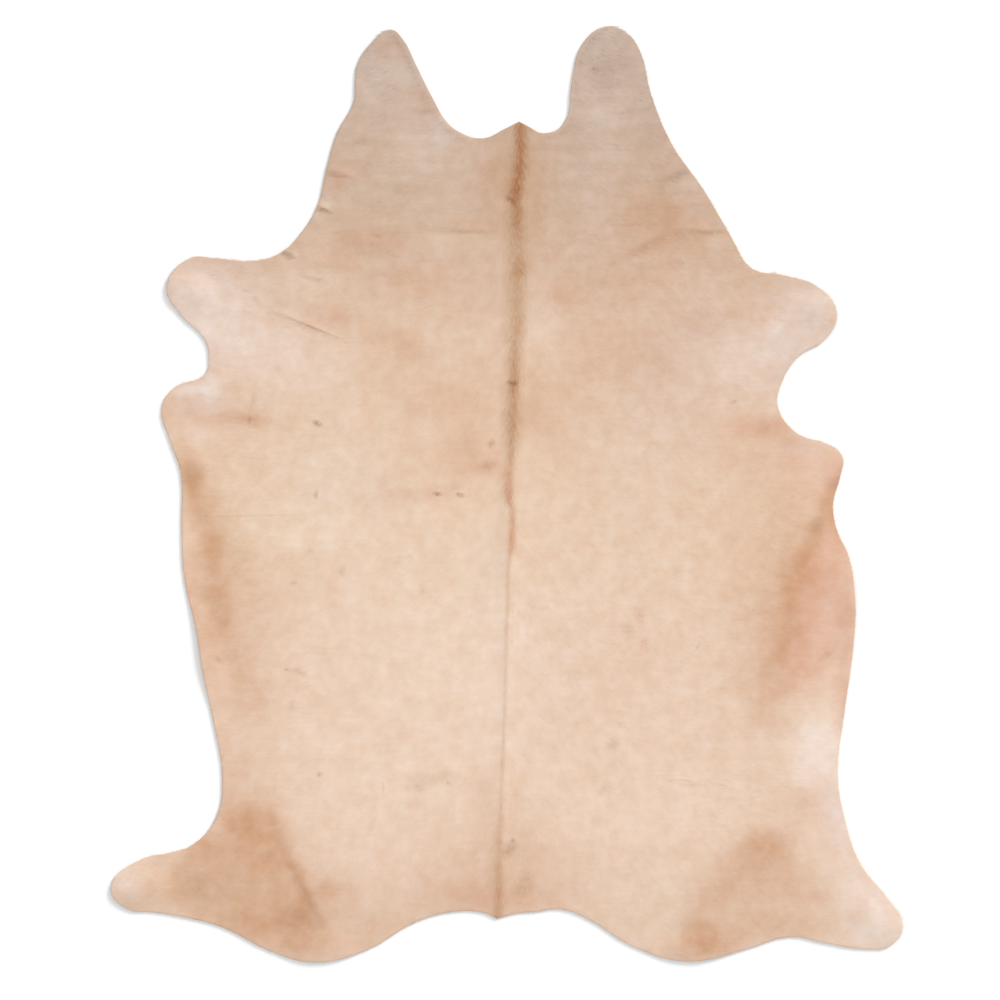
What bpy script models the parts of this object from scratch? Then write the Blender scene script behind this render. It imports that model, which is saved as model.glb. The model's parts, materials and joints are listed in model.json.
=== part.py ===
"""A cowhide rug: one whole hide that lies flat, hair side up. Lengths are in metres.

The hide is one sheet, its skin with the short coat lying on it. The neck points to +Y and the
tail to -Y. The underside rests at z = 0, and the origin lies under the middle of the outline's box.
"""

import math
from collections import namedtuple

import bmesh
import bpy
import numpy as np
from mathutils import Vector

MM = 0.001

SKIN_THICKNESS = 2.5 * MM
COAT_THICKNESS = 1.5 * MM  # hair of about 10 mm, lying flat

CELL = 60 * MM  # pitch of the grid that the sheet is cut into
CURVE_STEPS = 4  # straight steps between two landmarks of the outline
SHORTEST_EDGE = 1 * MM

RIDGE_HEIGHT = 2 * MM  # the thick skin over the backbone
RIDGE_HALF_WIDTH = 24 * MM
RIDGE_FADE = 90 * MM  # how far from its ends the ridge reaches its full height
SLOPE_CUTS = (-1, -0.5, 0, 0.5, 1)  # where a ridge or a fold is cut, as shares of its half size

HAIR_COLOUR = (0.80, 0.62, 0.48, 1)  # light beige, as linear values
HAIR_ROUGHNESS = 0.7

Landmark = namedtuple("Landmark", "name across along")  # in millimetres
Fold = namedtuple("Fold", "name start end height half_width")  # in millimetres

# The outline, anticlockwise from the tip of the left neck flap. Left and right are as seen from
# above, with the neck at the top.
OUTLINE = {
    "left neck": (
        Landmark("flap tip", -264, 1058),
        Landmark("flap outer corner", -312, 1023),
        Landmark("flap outer slope", -341, 976),
        Landmark("flap outer side", -346, 935),
        Landmark("flap root", -348, 896),
        Landmark("neck below the flap", -387, 821),
        Landmark("neck side", -412, 734),
        Landmark("neck base", -432, 654),
        Landmark("shoulder slope", -469, 594),
        Landmark("shoulder bay", -515, 549),
    ),
    "left fore shank": (
        Landmark("shoulder", -574, 531),
        Landmark("upper side", -665, 537),
        Landmark("upper corner", -722, 537),
        Landmark("tip", -775, 472),
        Landmark("under side", -745, 410),
        Landmark("root", -688, 351),
        Landmark("armpit top", -679, 315),
        Landmark("armpit", -686, 274),
    ),
    "left flank": (
        Landmark("brisket top", -757, 242),
        Landmark("brisket tip", -786, 197),
        Landmark("under the brisket", -768, 123),
        Landmark("flank top", -743, 50),
        Landmark("upper flank", -741, -82),
        Landmark("middle of the flank", -734, -196),
        Landmark("lower flank", -706, -317),
        Landmark("belly", -693, -406),
        Landmark("belly end", -668, -520),
        Landmark("stifle", -648, -647),
    ),
    "left hind shank": (
        Landmark("above the hock", -661, -736),
        Landmark("hock", -716, -800),
        Landmark("below the hock", -768, -818),
        Landmark("upper side", -830, -832),
        Landmark("tip", -902, -899),
        Landmark("lower corner", -864, -946),
        Landmark("under side", -814, -952),
        Landmark("root", -746, -962),
    ),
    "left rump": (
        Landmark("outer side", -649, -987),
        Landmark("outer slope", -538, -1042),
        Landmark("lowest point", -440, -1067),
        Landmark("inner slope", -319, -1039),
        Landmark("beside the tail", -203, -973),
        Landmark("tail bay", -114, -951),
        Landmark("tail base", -50, -955),
    ),
    "tail": (Landmark("tail point", -23, -968),),
    "right rump": (
        Landmark("tail base", 21, -956),
        Landmark("tail slope", 66, -952),
        Landmark("tail bay", 121, -946),
        Landmark("beside the tail", 183, -967),
        Landmark("inner slope", 281, -1028),
        Landmark("lowest point", 408, -1065),
        Landmark("outer slope", 543, -1038),
        Landmark("outer side", 645, -1009),
    ),
    "right hind shank": (
        Landmark("root", 725, -1023),
        Landmark("under side", 823, -1037),
        Landmark("lower corner", 873, -1030),
        Landmark("tip", 902, -985),
        Landmark("upper side", 869, -923),
        Landmark("hock", 807, -845),
        Landmark("above the hock", 768, -732),
    ),
    "right flank": (
        Landmark("stifle", 754, -636),
        Landmark("belly end", 768, -506),
        Landmark("lower flank", 791, -331),
        Landmark("middle of the flank", 792, -219),
        Landmark("flank corner", 776, -134),
        Landmark("upper flank", 755, -91),
        Landmark("flank top", 743, -25),
        Landmark("under the brisket", 760, 41),
        Landmark("brisket tip", 764, 87),
        Landmark("brisket top", 718, 119),
        Landmark("brisket slope", 684, 127),
    ),
    "right fore shank": (
        Landmark("armpit bottom", 650, 147),
        Landmark("armpit", 617, 201),
        Landmark("armpit top", 627, 255),
        Landmark("root", 666, 315),
        Landmark("under side", 727, 353),
        Landmark("tip", 752, 410),
        Landmark("upper corner", 716, 467),
        Landmark("upper side", 627, 499),
        Landmark("shoulder", 559, 513),
    ),
    "right neck": (
        Landmark("shoulder bay", 511, 586),
        Landmark("neck base", 447, 695),
        Landmark("neck side", 379, 791),
        Landmark("neck below the flap", 328, 912),
        Landmark("flap outer side", 303, 1010),
        Landmark("flap outer corner", 269, 1053),
        Landmark("flap tip", 224, 1065),
        Landmark("flap inner corner", 171, 1023),
        Landmark("flap inner side", 148, 939),
    ),
    "neck bays": (
        Landmark("right bay side", 128, 842),
        Landmark("right bay", 83, 822),
        Landmark("right bay end", 48, 838),
        Landmark("neck point", 28, 848),
        Landmark("left bay end", -4, 832),
        Landmark("left bay", -54, 810),
        Landmark("left bay side", -109, 825),
        Landmark("left bay corner", -137, 848),
    ),
    "left flap": (
        Landmark("inner side", -166, 896),
        Landmark("inner slope", -209, 982),
        Landmark("inner corner", -237, 1036),
    ),
}
CORNERS = ("tail point", "neck point")

# The line of the backbone, from the tail to the neck
BACKBONE = (
    Landmark("tail point", -22, -968),
    Landmark("rump", -22, -775),
    Landmark("loin end", -11, -640),
    Landmark("loin", 0, -360),
    Landmark("middle of the back", 5, -100),
    Landmark("chest", 9, 165),
    Landmark("withers", 16, 320),
    Landmark("neck", 21, 670),
    Landmark("neck point", 28, 848),
)

# The creases and wrinkles, as low ridges, and below them the broad swells near the rim
FOLDS = (
    Fold("left shoulder crease", (-582, 445), (-374, 352), 2.5, 16),
    Fold("left shoulder wrinkle", (-472, 501), (-403, 490), 1.5, 12),
    Fold("left neck rim, upper wrinkle", (-406, 732), (-290, 716), 1.8, 16),
    Fold("left neck rim, middle wrinkle", (-426, 655), (-360, 643), 2.5, 12),
    Fold("left neck rim, lower wrinkle", (-506, 551), (-478, 541), 2.0, 11),
    Fold("left neck, crease under the flap", (-370, 798), (-310, 802), 1.5, 15),
    Fold("neck crease", (-187, 606), (-30, 606), 1.2, 14),
    Fold("right neck fold", (260, 541), (349, 588), 2.0, 20),
    Fold("right neck rim, lower wrinkle", (406, 606), (497, 598), 2.0, 14),
    Fold("right neck rim, upper wrinkle", (358, 720), (413, 742), 1.8, 15),
    Fold("right rump crease", (326, -641), (520, -670), 1.5, 12),
    Fold("left rump crease", (-506, -812), (-415, -982), 1.8, 18),
)
SWELLS = (
    Fold("left neck flap", (-300, 1000), (-270, 940), 3, 60),
    Fold("right neck flap", (215, 1020), (235, 950), 3, 65),
    Fold("left fore shank", (-760, 470), (-700, 450), 4, 60),
    Fold("right fore shank", (740, 410), (690, 420), 4, 55),
    Fold("left flank", (-735, -290), (-690, -430), 4, 75),
    Fold("right flank", (770, -150), (785, -330), 4, 80),
    Fold("left hind shank", (-880, -905), (-800, -895), 5, 60),
    Fold("right hind shank", (880, -985), (820, -960), 5, 65),
    Fold("left rump", (-470, -1050), (-380, -1045), 3, 60),
    Fold("right rump", (380, -1050), (500, -1040), 3, 60),
)


def clear_scene():
    for obj in list(bpy.data.objects):
        bpy.data.objects.remove(obj)


def hair_material():
    """The coat's beige, as one even colour."""
    material = bpy.data.materials.new("hide")
    material.use_nodes = True
    shader = material.node_tree.nodes["Principled BSDF"]
    shader.inputs["Base Color"].default_value = HAIR_COLOUR
    shader.inputs["Roughness"].default_value = HAIR_ROUGHNESS
    shader.inputs["Metallic"].default_value = 0
    return material


def outline_curve():
    """The filled outline as a flat curve that passes through every landmark."""
    landmarks = [mark for section in OUTLINE.values() for mark in section]
    curve = bpy.data.curves.new("outline", "CURVE")
    curve.dimensions = "2D"
    curve.fill_mode = "BOTH"
    curve.resolution_u = CURVE_STEPS
    spline = curve.splines.new("BEZIER")
    spline.use_cyclic_u = True
    spline.bezier_points.add(len(landmarks) - 1)
    for point, mark in zip(spline.bezier_points, landmarks, strict=True):
        point.co = (mark.across * MM, mark.along * MM, 0)
        handle = "VECTOR" if mark.name in CORNERS else "AUTO"
        point.handle_left_type = handle
        point.handle_right_type = handle
    return curve


def flat_sheet():
    """The outline as one flat face, centred on the origin."""
    drawn = bpy.data.objects.new("outline", outline_curve())
    bpy.context.scene.collection.objects.link(drawn)
    graph = bpy.context.evaluated_depsgraph_get()
    mesh = bpy.data.meshes.new_from_object(drawn.evaluated_get(graph))
    bpy.data.objects.remove(drawn)
    sheet = bmesh.new()
    sheet.from_mesh(mesh)
    bpy.data.meshes.remove(mesh)
    bmesh.ops.remove_doubles(sheet, verts=sheet.verts, dist=SHORTEST_EDGE)
    bmesh.ops.dissolve_faces(sheet, faces=sheet.faces)
    xs = [vert.co.x for vert in sheet.verts]
    ys = [vert.co.y for vert in sheet.verts]
    middle = Vector((min(xs) + max(xs), min(ys) + max(ys), 0)) / 2
    bmesh.ops.translate(sheet, verts=sheet.verts, vec=-middle)
    return sheet


def backbone_at(y):
    """How far across the backbone lies at this distance along the hide."""
    along = [mark.along * MM for mark in BACKBONE]
    across = [mark.across * MM for mark in BACKBONE]
    return float(np.interp(y, along, across))


def sway(sheet, direction):
    """Moves each point across by the backbone's own sway, to straighten or to bend the hide."""
    for vert in sheet.verts:
        vert.co.x += direction * backbone_at(vert.co.y)


def cut(sheet, faces, point, normal):
    """Cuts these faces along a plane, and returns them with the faces that the cut made."""
    edges = dict.fromkeys(edge for face in faces for edge in face.edges)
    verts = dict.fromkeys(vert for face in faces for vert in face.verts)
    made = bmesh.ops.bisect_plane(
        sheet,
        geom=[*verts, *edges, *faces],
        dist=SHORTEST_EDGE,
        plane_co=point,
        plane_no=normal,
    )
    return [item for item in made["geom"] if isinstance(item, bmesh.types.BMFace)]


def cut_grid(sheet):
    """Cuts the whole sheet into cells, which line up with the backbone."""
    size = max(max(abs(vert.co.x), abs(vert.co.y)) for vert in sheet.verts)
    faces = list(sheet.faces)
    for line in range(-int(size / CELL), int(size / CELL) + 1):
        for normal in (Vector((1, 0, 0)), Vector((0, 1, 0))):
            faces = cut(sheet, faces, normal * line * CELL, normal)


def cut_ridge(sheet):
    """Cuts the cells on the backbone lengthwise, so that the ridge has a crown and two slopes."""
    faces = [face for face in sheet.faces if abs(face.calc_center_median().x) < CELL]
    for share in SLOPE_CUTS:
        faces = cut(sheet, faces, Vector((share * RIDGE_HALF_WIDTH, 0, 0)), Vector((1, 0, 0)))


def frame_of(fold):
    """A fold's middle, its direction, the direction across it, and half of its length."""
    start = Vector((*fold.start, 0)) * MM
    end = Vector((*fold.end, 0)) * MM
    way = (end - start).normalized()
    return (start + end) / 2, way, Vector((-way.y, way.x, 0)), (end - start).length / 2


def reach(point, fold):
    """0 in a fold's middle, 1 where it ends. A fold is a long oval, highest in its middle."""
    middle, way, side, half_length = frame_of(fold)
    offset = Vector((point.x, point.y, 0)) - middle
    along = offset.dot(way) / (half_length + fold.half_width * MM)
    across = offset.dot(side) / (fold.half_width * MM)
    return math.hypot(along, across)


def cut_fold(sheet, fold):
    """Cuts the cells round a fold along its crown and slopes, and across it."""
    middle, way, side, half_length = frame_of(fold)
    faces = []
    for face in sheet.faces:
        spots = [face.calc_center_median(), *(vert.co for vert in face.verts)]
        if min(reach(spot, fold) for spot in spots) < 1:
            faces.append(face)
    for share in SLOPE_CUTS:
        faces = cut(sheet, faces, middle + side * share * fold.half_width * MM, side)
        faces = cut(sheet, faces, middle + way * share * half_length, way)


def bump(share):
    """A soft hump, 1 where the share is 0, and flat from 1 on."""
    return (1 - share**2) ** 2 if share < 1 else 0.0


def lift_at(point):
    """How high the hide's underside lies over the floor at a point."""
    from_ends = min(point.y - BACKBONE[0].along * MM, BACKBONE[-1].along * MM - point.y)
    fade = min(1, max(0, from_ends / RIDGE_FADE))
    from_ridge = abs(point.x - backbone_at(point.y))
    lift = RIDGE_HEIGHT * fade * bump(from_ridge / RIDGE_HALF_WIDTH)
    for fold in FOLDS + SWELLS:
        lift = max(lift, fold.height * MM * bump(reach(point, fold)))
    return lift


def hide(collection):
    """The whole hide, with its underside as the mesh and its thickness as a Solidify modifier."""
    sheet = flat_sheet()
    sway(sheet, -1)
    cut_grid(sheet)
    cut_ridge(sheet)
    sway(sheet, 1)
    for fold in FOLDS:
        cut_fold(sheet, fold)
    for vert in sheet.verts:
        vert.co.z = lift_at(vert.co)
    bmesh.ops.triangulate(sheet, faces=sheet.faces)
    for face in sheet.faces:
        face.normal_update()
        if face.normal.z < 0:
            face.normal_flip()
        face.smooth = True
    mesh = bpy.data.meshes.new("hide")
    sheet.to_mesh(mesh)
    sheet.free()
    mesh.materials.append(hair_material())
    obj = bpy.data.objects.new("hide", mesh)
    collection.objects.link(obj)
    solid = obj.modifiers.new("thickness", "SOLIDIFY")
    solid.thickness = SKIN_THICKNESS + COAT_THICKNESS
    solid.offset = 1
    return obj


def main():
    clear_scene()
    collection = bpy.data.collections.new("cowhide")
    bpy.context.scene.collection.children.link(collection)
    hide(collection)


main()
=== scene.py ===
import json
import math
from collections import namedtuple

import bmesh
import bpy
import numpy as np
from mathutils import Euler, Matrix, Vector, kdtree, noise

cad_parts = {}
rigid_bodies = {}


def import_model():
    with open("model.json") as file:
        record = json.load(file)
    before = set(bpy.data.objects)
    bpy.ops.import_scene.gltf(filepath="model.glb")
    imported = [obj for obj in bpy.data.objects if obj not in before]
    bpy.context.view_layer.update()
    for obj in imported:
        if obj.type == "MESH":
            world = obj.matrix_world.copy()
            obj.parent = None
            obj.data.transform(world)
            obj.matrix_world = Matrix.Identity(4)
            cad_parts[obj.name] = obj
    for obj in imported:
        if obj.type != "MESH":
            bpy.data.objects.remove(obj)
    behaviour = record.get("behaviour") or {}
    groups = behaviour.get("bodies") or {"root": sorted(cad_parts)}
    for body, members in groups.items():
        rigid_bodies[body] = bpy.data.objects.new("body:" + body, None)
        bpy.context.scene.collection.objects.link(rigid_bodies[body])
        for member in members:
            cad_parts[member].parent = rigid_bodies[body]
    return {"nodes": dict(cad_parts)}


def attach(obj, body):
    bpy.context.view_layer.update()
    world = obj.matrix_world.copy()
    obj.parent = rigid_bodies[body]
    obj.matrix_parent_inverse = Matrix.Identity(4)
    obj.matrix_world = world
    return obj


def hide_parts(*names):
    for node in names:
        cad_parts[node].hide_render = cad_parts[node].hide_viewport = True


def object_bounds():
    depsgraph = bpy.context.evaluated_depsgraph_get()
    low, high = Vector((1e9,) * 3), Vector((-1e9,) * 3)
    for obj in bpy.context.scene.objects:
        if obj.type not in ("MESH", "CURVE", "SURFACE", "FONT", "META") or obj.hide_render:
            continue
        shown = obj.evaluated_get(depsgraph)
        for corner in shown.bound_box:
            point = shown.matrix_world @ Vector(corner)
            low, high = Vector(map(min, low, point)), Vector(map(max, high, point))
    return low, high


for obj in list(bpy.data.objects):  # the default cube, light and camera
    bpy.data.objects.remove(obj)
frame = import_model()
cadLow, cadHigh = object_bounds()
print("frame loaded: the hide is", [round(size, 3) for size in cadHigh - cadLow], "m")

mm = 0.001

# Places on the hide are in millimetres from its middle: across to the right, along to the neck
Ridge = namedtuple("Ridge", "name start end height halfWidth")
Crease = namedtuple("Crease", "name points width depth")
Patch = namedtuple("Patch", "across along halfWidth halfLength amount turn crispness", defaults=(0, 1))
Mark = namedtuple("Mark", "name across along halfWidth halfLength turn amount tone", defaults=("mark",))
Stretch = namedtuple("Stretch", "along across halfWidth rust gold")

# The line of the backbone from the tail to the neck: along, across
backboneLine = (
    (-968, -22),
    (-775, -22),
    (-640, -11),
    (-360, 0),
    (-100, 5),
    (165, 9),
    (320, 16),
    (670, 21),
    (848, 28),
)

# The dark hair over the backbone, which wanders a little: half its width, then how rusty its
# middle is and how golden its soft edges are
backboneHair = (
    Stretch(-967, -20, 10, 0.22, 0.34),
    Stretch(-925, -19, 10, 0.2, 0.34),
    Stretch(-880, -18, 9, 0.17, 0.33),
    Stretch(-830, -18, 8, 0.14, 0.31),
    Stretch(-784, -18, 8, 0.14, 0.32),
    Stretch(-739, -15, 7, 0.1, 0.22),
    Stretch(-675, -13, 5, 0.08, 0.19),
    Stretch(-561, -8, 4, 0.1, 0.17),
    Stretch(-447, -4, 4, 0.08, 0.17),
    Stretch(-333, -2, 4, 0.08, 0.19),
    Stretch(-242, 2, 4, 0.1, 0.19),
    Stretch(-185, 2, 5, 0.13, 0.17),
    Stretch(-141, 5, 5, 0.13, 0.2),
    Stretch(-125, 10, 7, 0.3, 0.34),
    Stretch(-93, 11, 7, 0.34, 0.4),
    Stretch(-55, 12, 7, 0.24, 0.38),
    Stretch(-34, 12, 7, 0.16, 0.34),
    Stretch(-21, 5, 10, 0.5, 0.26),
    Stretch(9, 4, 12, 0.46, 0.2),
    Stretch(46, 5, 11, 0.36, 0.22),
    Stretch(68, 8, 9, 0.26, 0.28),
    Stretch(96, 9, 9, 0.29, 0.39),
    Stretch(123, 11, 13, 0.33, 0.46),
    Stretch(160, 12, 14, 0.36, 0.5),
    Stretch(196, 13, 13, 0.28, 0.46),
    Stretch(223, 14, 13, 0.3, 0.46),
    Stretch(244, 15, 12, 0.5, 0.56),
    Stretch(251, 15, 13, 0.74, 0.58),
    Stretch(260, 16, 11, 0.42, 0.54),
    Stretch(296, 17, 12, 0.3, 0.5),
    Stretch(324, 18, 11, 0.28, 0.5),
    Stretch(344, 19, 12, 0.24, 0.46),
    Stretch(367, 22, 15, 0.22, 0.42),
    Stretch(392, 23, 16, 0.34, 0.42),
    Stretch(419, 22, 15, 0.18, 0.4),
    Stretch(447, 22, 17, 0.14, 0.44),
    Stretch(479, 24, 15, 0.14, 0.42),
    Stretch(506, 26, 17, 0.34, 0.58),
    Stretch(529, 26, 16, 0.28, 0.54),
    Stretch(556, 25, 15, 0.15, 0.42),
    Stretch(584, 25, 15, 0.24, 0.44),
    Stretch(615, 23, 13, 0.48, 0.53),
    Stretch(645, 23, 14, 0.6, 0.55),
    Stretch(663, 22, 15, 0.64, 0.51),
    Stretch(677, 20, 16, 0.84, 0.55),
    Stretch(693, 21, 17, 0.82, 0.55),
    Stretch(713, 25, 15, 0.78, 0.55),
    Stretch(739, 27, 15, 0.8, 0.53),
    Stretch(761, 29, 15, 0.76, 0.55),
    Stretch(789, 31, 15, 0.71, 0.57),
    Stretch(816, 31, 14, 0.67, 0.55),
    Stretch(843, 30, 14, 0.65, 0.48),
    Stretch(862, 30, 14, 0.63, 0.48),
)

# The creases and wrinkles stand up as low ridges; below them are the broad swells near the rim
ridges = (
    Ridge("left shoulder crease", (-560, 430), (-360, 350), 0.6, 16),
    Ridge("left shoulder wrinkle", (-472, 501), (-403, 490), 0.5, 12),
    Ridge("left neck rim, upper wrinkle", (-412, 740), (-352, 732), 1.1, 16),
    Ridge("left neck rim, middle wrinkle", (-430, 656), (-400, 646), 1.5, 11),
    Ridge("left neck rim, lower wrinkle", (-506, 551), (-478, 541), 1.2, 11),
    Ridge("left neck, crease under the flap", (-370, 798), (-310, 802), 0.6, 15),
    Ridge("neck crease", (-187, 606), (-30, 606), 0.4, 14),
    Ridge("right neck fold", (260, 541), (349, 588), 0.5, 20),
    Ridge("right neck rim, lower wrinkle", (406, 606), (497, 598), 0.8, 14),
    Ridge("right neck rim, upper wrinkle", (358, 720), (413, 742), 0.5, 15),
    Ridge("right rump crease", (326, -641), (520, -670), 0.6, 12),
    Ridge("left rump crease", (-506, -812), (-415, -982), 0.4, 18),
)
swells = (
    Ridge("left neck flap", (-300, 1000), (-270, 940), 2, 65),
    Ridge("right neck flap", (215, 1020), (235, 950), 3, 65),
    Ridge("left fore shank", (-760, 470), (-700, 450), 4, 60),
    Ridge("right fore shank", (740, 410), (690, 420), 4, 55),
    Ridge("left flank", (-735, -290), (-690, -430), 4, 75),
    Ridge("right flank", (770, -150), (785, -330), 4, 80),
    Ridge("left hind shank", (-880, -905), (-800, -895), 5, 60),
    Ridge("right hind shank", (880, -985), (820, -960), 5, 65),
    Ridge("left rump", (-470, -1050), (-380, -1045), 3, 60),
    Ridge("right rump", (380, -1050), (500, -1040), 3, 60),
)

# Painted shade: thin dark lines drawn into the coat's colour along each crease, for the shade in its fold
creases = (
    Crease(
        "left shoulder",
        ((-608, 472), (-582, 445), (-533, 415), (-476, 391), (-428, 373), (-365, 348)), 3.0, 0.05,
    ),
    Crease("left shoulder, upper", ((-472, 501), (-451, 492), (-403, 490)), 4.0, 0.08),
    Crease("left neck rim, middle", ((-430, 657), (-418, 650), (-398, 643)), 4.5, 0.5),
    Crease("left neck rim, above it", ((-422, 676), (-405, 670)), 3.0, 0.13),
    Crease("left neck rim, below it", ((-443, 627), (-417, 618)), 3.0, 0.13),
    Crease("left neck rim, upper", ((-414, 727), (-385, 722), (-352, 724)), 5.0, 0.14),
    Crease("left neck, under the flap", ((-370, 798), (-338, 801), (-326, 809), (-310, 799)), 3.5, 0.11),
    Crease("left neck rim, lower", ((-507, 551), (-481, 542)), 6.0, 0.23),
    Crease("neck", ((-185, 605), (-130, 606), (-100, 601), (-2, 602)), 3.0, 0.1),
    Crease("right neck fold", ((268, 549), (285, 558), (310, 568), (342, 584)), 7.0, 0.08),
    Crease("right neck rim, lower", ((354, 592), (406, 606), (447, 597), (497, 600)), 6.0, 0.10),
    Crease("right neck rim, upper", ((363, 723), (376, 730), (412, 742)), 8.0, 0.08),
    Crease("right rump", ((322, -640), (405, -642), (440, -651), (520, -672)), 3.0, 0.1),
    Crease("left rump", ((-506, -812), (-470, -880), (-415, -982)), 13.0, 0.17),
    Crease("left armpit", ((-579, 222), (-580, 204), (-590, 180)), 4.0, 0.13),
)

# Small dark marks in the coat
smallMarks = (
    Mark("spot on the left rust band", -586, 168, 7, 12, 0, 0.23),
    Mark("below the spot on the left rust band", -576, 154, 20, 8, 0, 0.1, "brown"),
    # The next two marks follow the left shoulder crease: painted shade of that crease, drawn dark and rusty
    # into the colour
    Mark("painted crease shade on the left shoulder", -451, 383, 88, 3.2, -22, 0.24),
    Mark("rusty middle of this line", -441, 378, 24, 4, -21, 0.3, "rust"),
    Mark("above this line", -572, 444, 13, 9, -20, 0.17),
    Mark("above this line, at its end", -594, 463, 10, 5, -10, 0.15),
    Mark("below this line", -499, 380, 9, 4, 0, 0.13),
    Mark("spot behind the left shoulder", -431, 160, 19, 9, -28, 0.39),
    Mark("first spot on the back", -159, 0, 15, 7, -8, 0.46),
    Mark("second spot on the back", -106, -2, 13, 7, -12, 0.44),
    Mark("beside the spots on the back", -118, 14, 24, 10, 10, 0.1),
    Mark("spot beside the backbone", -34, 115, 12, 16, -30, 0.28),
    Mark("second spot beside the backbone", -40, 66, 30, 16, 15, 0.14),
    Mark("rosy hair beside the backbone", -34, 86, 44, 60, 0, 0.08, "rose"),
    Mark("rosy hair on the backbone", 4, 24, 14, 70, 0, 0.22, "rose"),
    Mark("rosy hair on the backbone, lower", 11, -90, 12, 64, 0, 0.28, "rose"),
    Mark("knot on the backbone", 16, 251, 12, 9, 25, 0.38),
    Mark("knot on the backbone, beside it", 6, 254, 9, 6, -35, 0.4),
    Mark("twist on the backbone", 7, 671, 16, 8, -24, 0.45),
    Mark("twist on the backbone, below it", 17, 661, 8, 13, 24, 0.4),
    Mark("left back", -435, -2, 8, 15, 0, 0.2, "brown"),
    Mark("left back, first dot", -485, -201, 13, 8, 0, 0.12),
    Mark("left back, second dot", -447, -130, 11, 9, 0, 0.1),
    Mark("left back, third dot", -221, -144, 12, 12, 0, 0.1),
    Mark("left back, fourth dot", -193, -220, 12, 16, 0, 0.1),
    Mark("left flank, short arc", -656, -378, 8, 16, 50, 0.18),
    Mark("left loin", -428, -640, 10, 10, 0, 0.24),
    Mark("left loin, upper dot", -502, -400, 7, 5, 0, 0.22),
    Mark("left loin, rusty", -480, -402, 28, 13, -10, 0.16, "rust"),
    Mark("left loin, rusty end", -464, -412, 15, 9, -25, 0.12),
    Mark("left loin, soft", -488, -481, 17, 17, 0, 0.14),
    Mark("left back, soft", -376, -173, 12, 18, 0, 0.14),
    Mark("right loin", 240, -572, 22, 20, 0, 0.16, "brown"),
    Mark("scar on the right loin, top", 303, -278, 28, 18, -50, 0.24, "rust"),
    Mark("scar on the right loin, left", 273, -307, 24, 17, -35, 0.13),
    Mark("scar on the right loin, its end", 315, -343, 17, 24, 20, 0.24, "rust"),
    Mark("stroke on the right loin", 434, -349, 4, 13, -35, 0.24, "brown"),
    Mark("soft spot on the right loin", 260, -527, 18, 12, 0, 0.1),
    Mark("soft spot on the right rump", 224, -675, 26, 18, 0, 0.14, "rust"),
    Mark("left rump, dot", -133, -658, 9, 7, -30, 0.22),
    Mark("left rump, soft", -205, -668, 42, 18, 6, 0.12, "brown"),
    Mark("left rump, stroke", -282, -670, 4, 24, 0, 0.16, "brown"),
    Mark("beside the tail, dot", 14, -789, 9, 7, -30, 0.26),
    Mark("beside the tail, tuft", 3, -814, 18, 28, -35, 0.3, "backboneGold"),
    Mark("beside the tail, first patch", 44, -874, 24, 26, 0, 0.24, "backboneGold"),
    Mark("beside the tail, second patch", 34, -900, 34, 26, 0, 0.28, "backboneGold"),
    Mark("right shoulder", 517, 210, 10, 6, 30, 0.2, "brown"),
    Mark("left neck", -296, 588, 18, 8, -15, 0.16),
    Mark("left neck flap, at the rim", -178, 872, 26, 10, 12, 0.16),
    Mark("right neck flap", 201, 967, 18, 13, 0, 0.22, "brown"),
    Mark("line on the left flank", -601, -50, 140, 5, 1, 0.1),
    Mark("bent line on the right flank", 728, -368, 34, 10, 38, 0.16),
)

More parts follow.
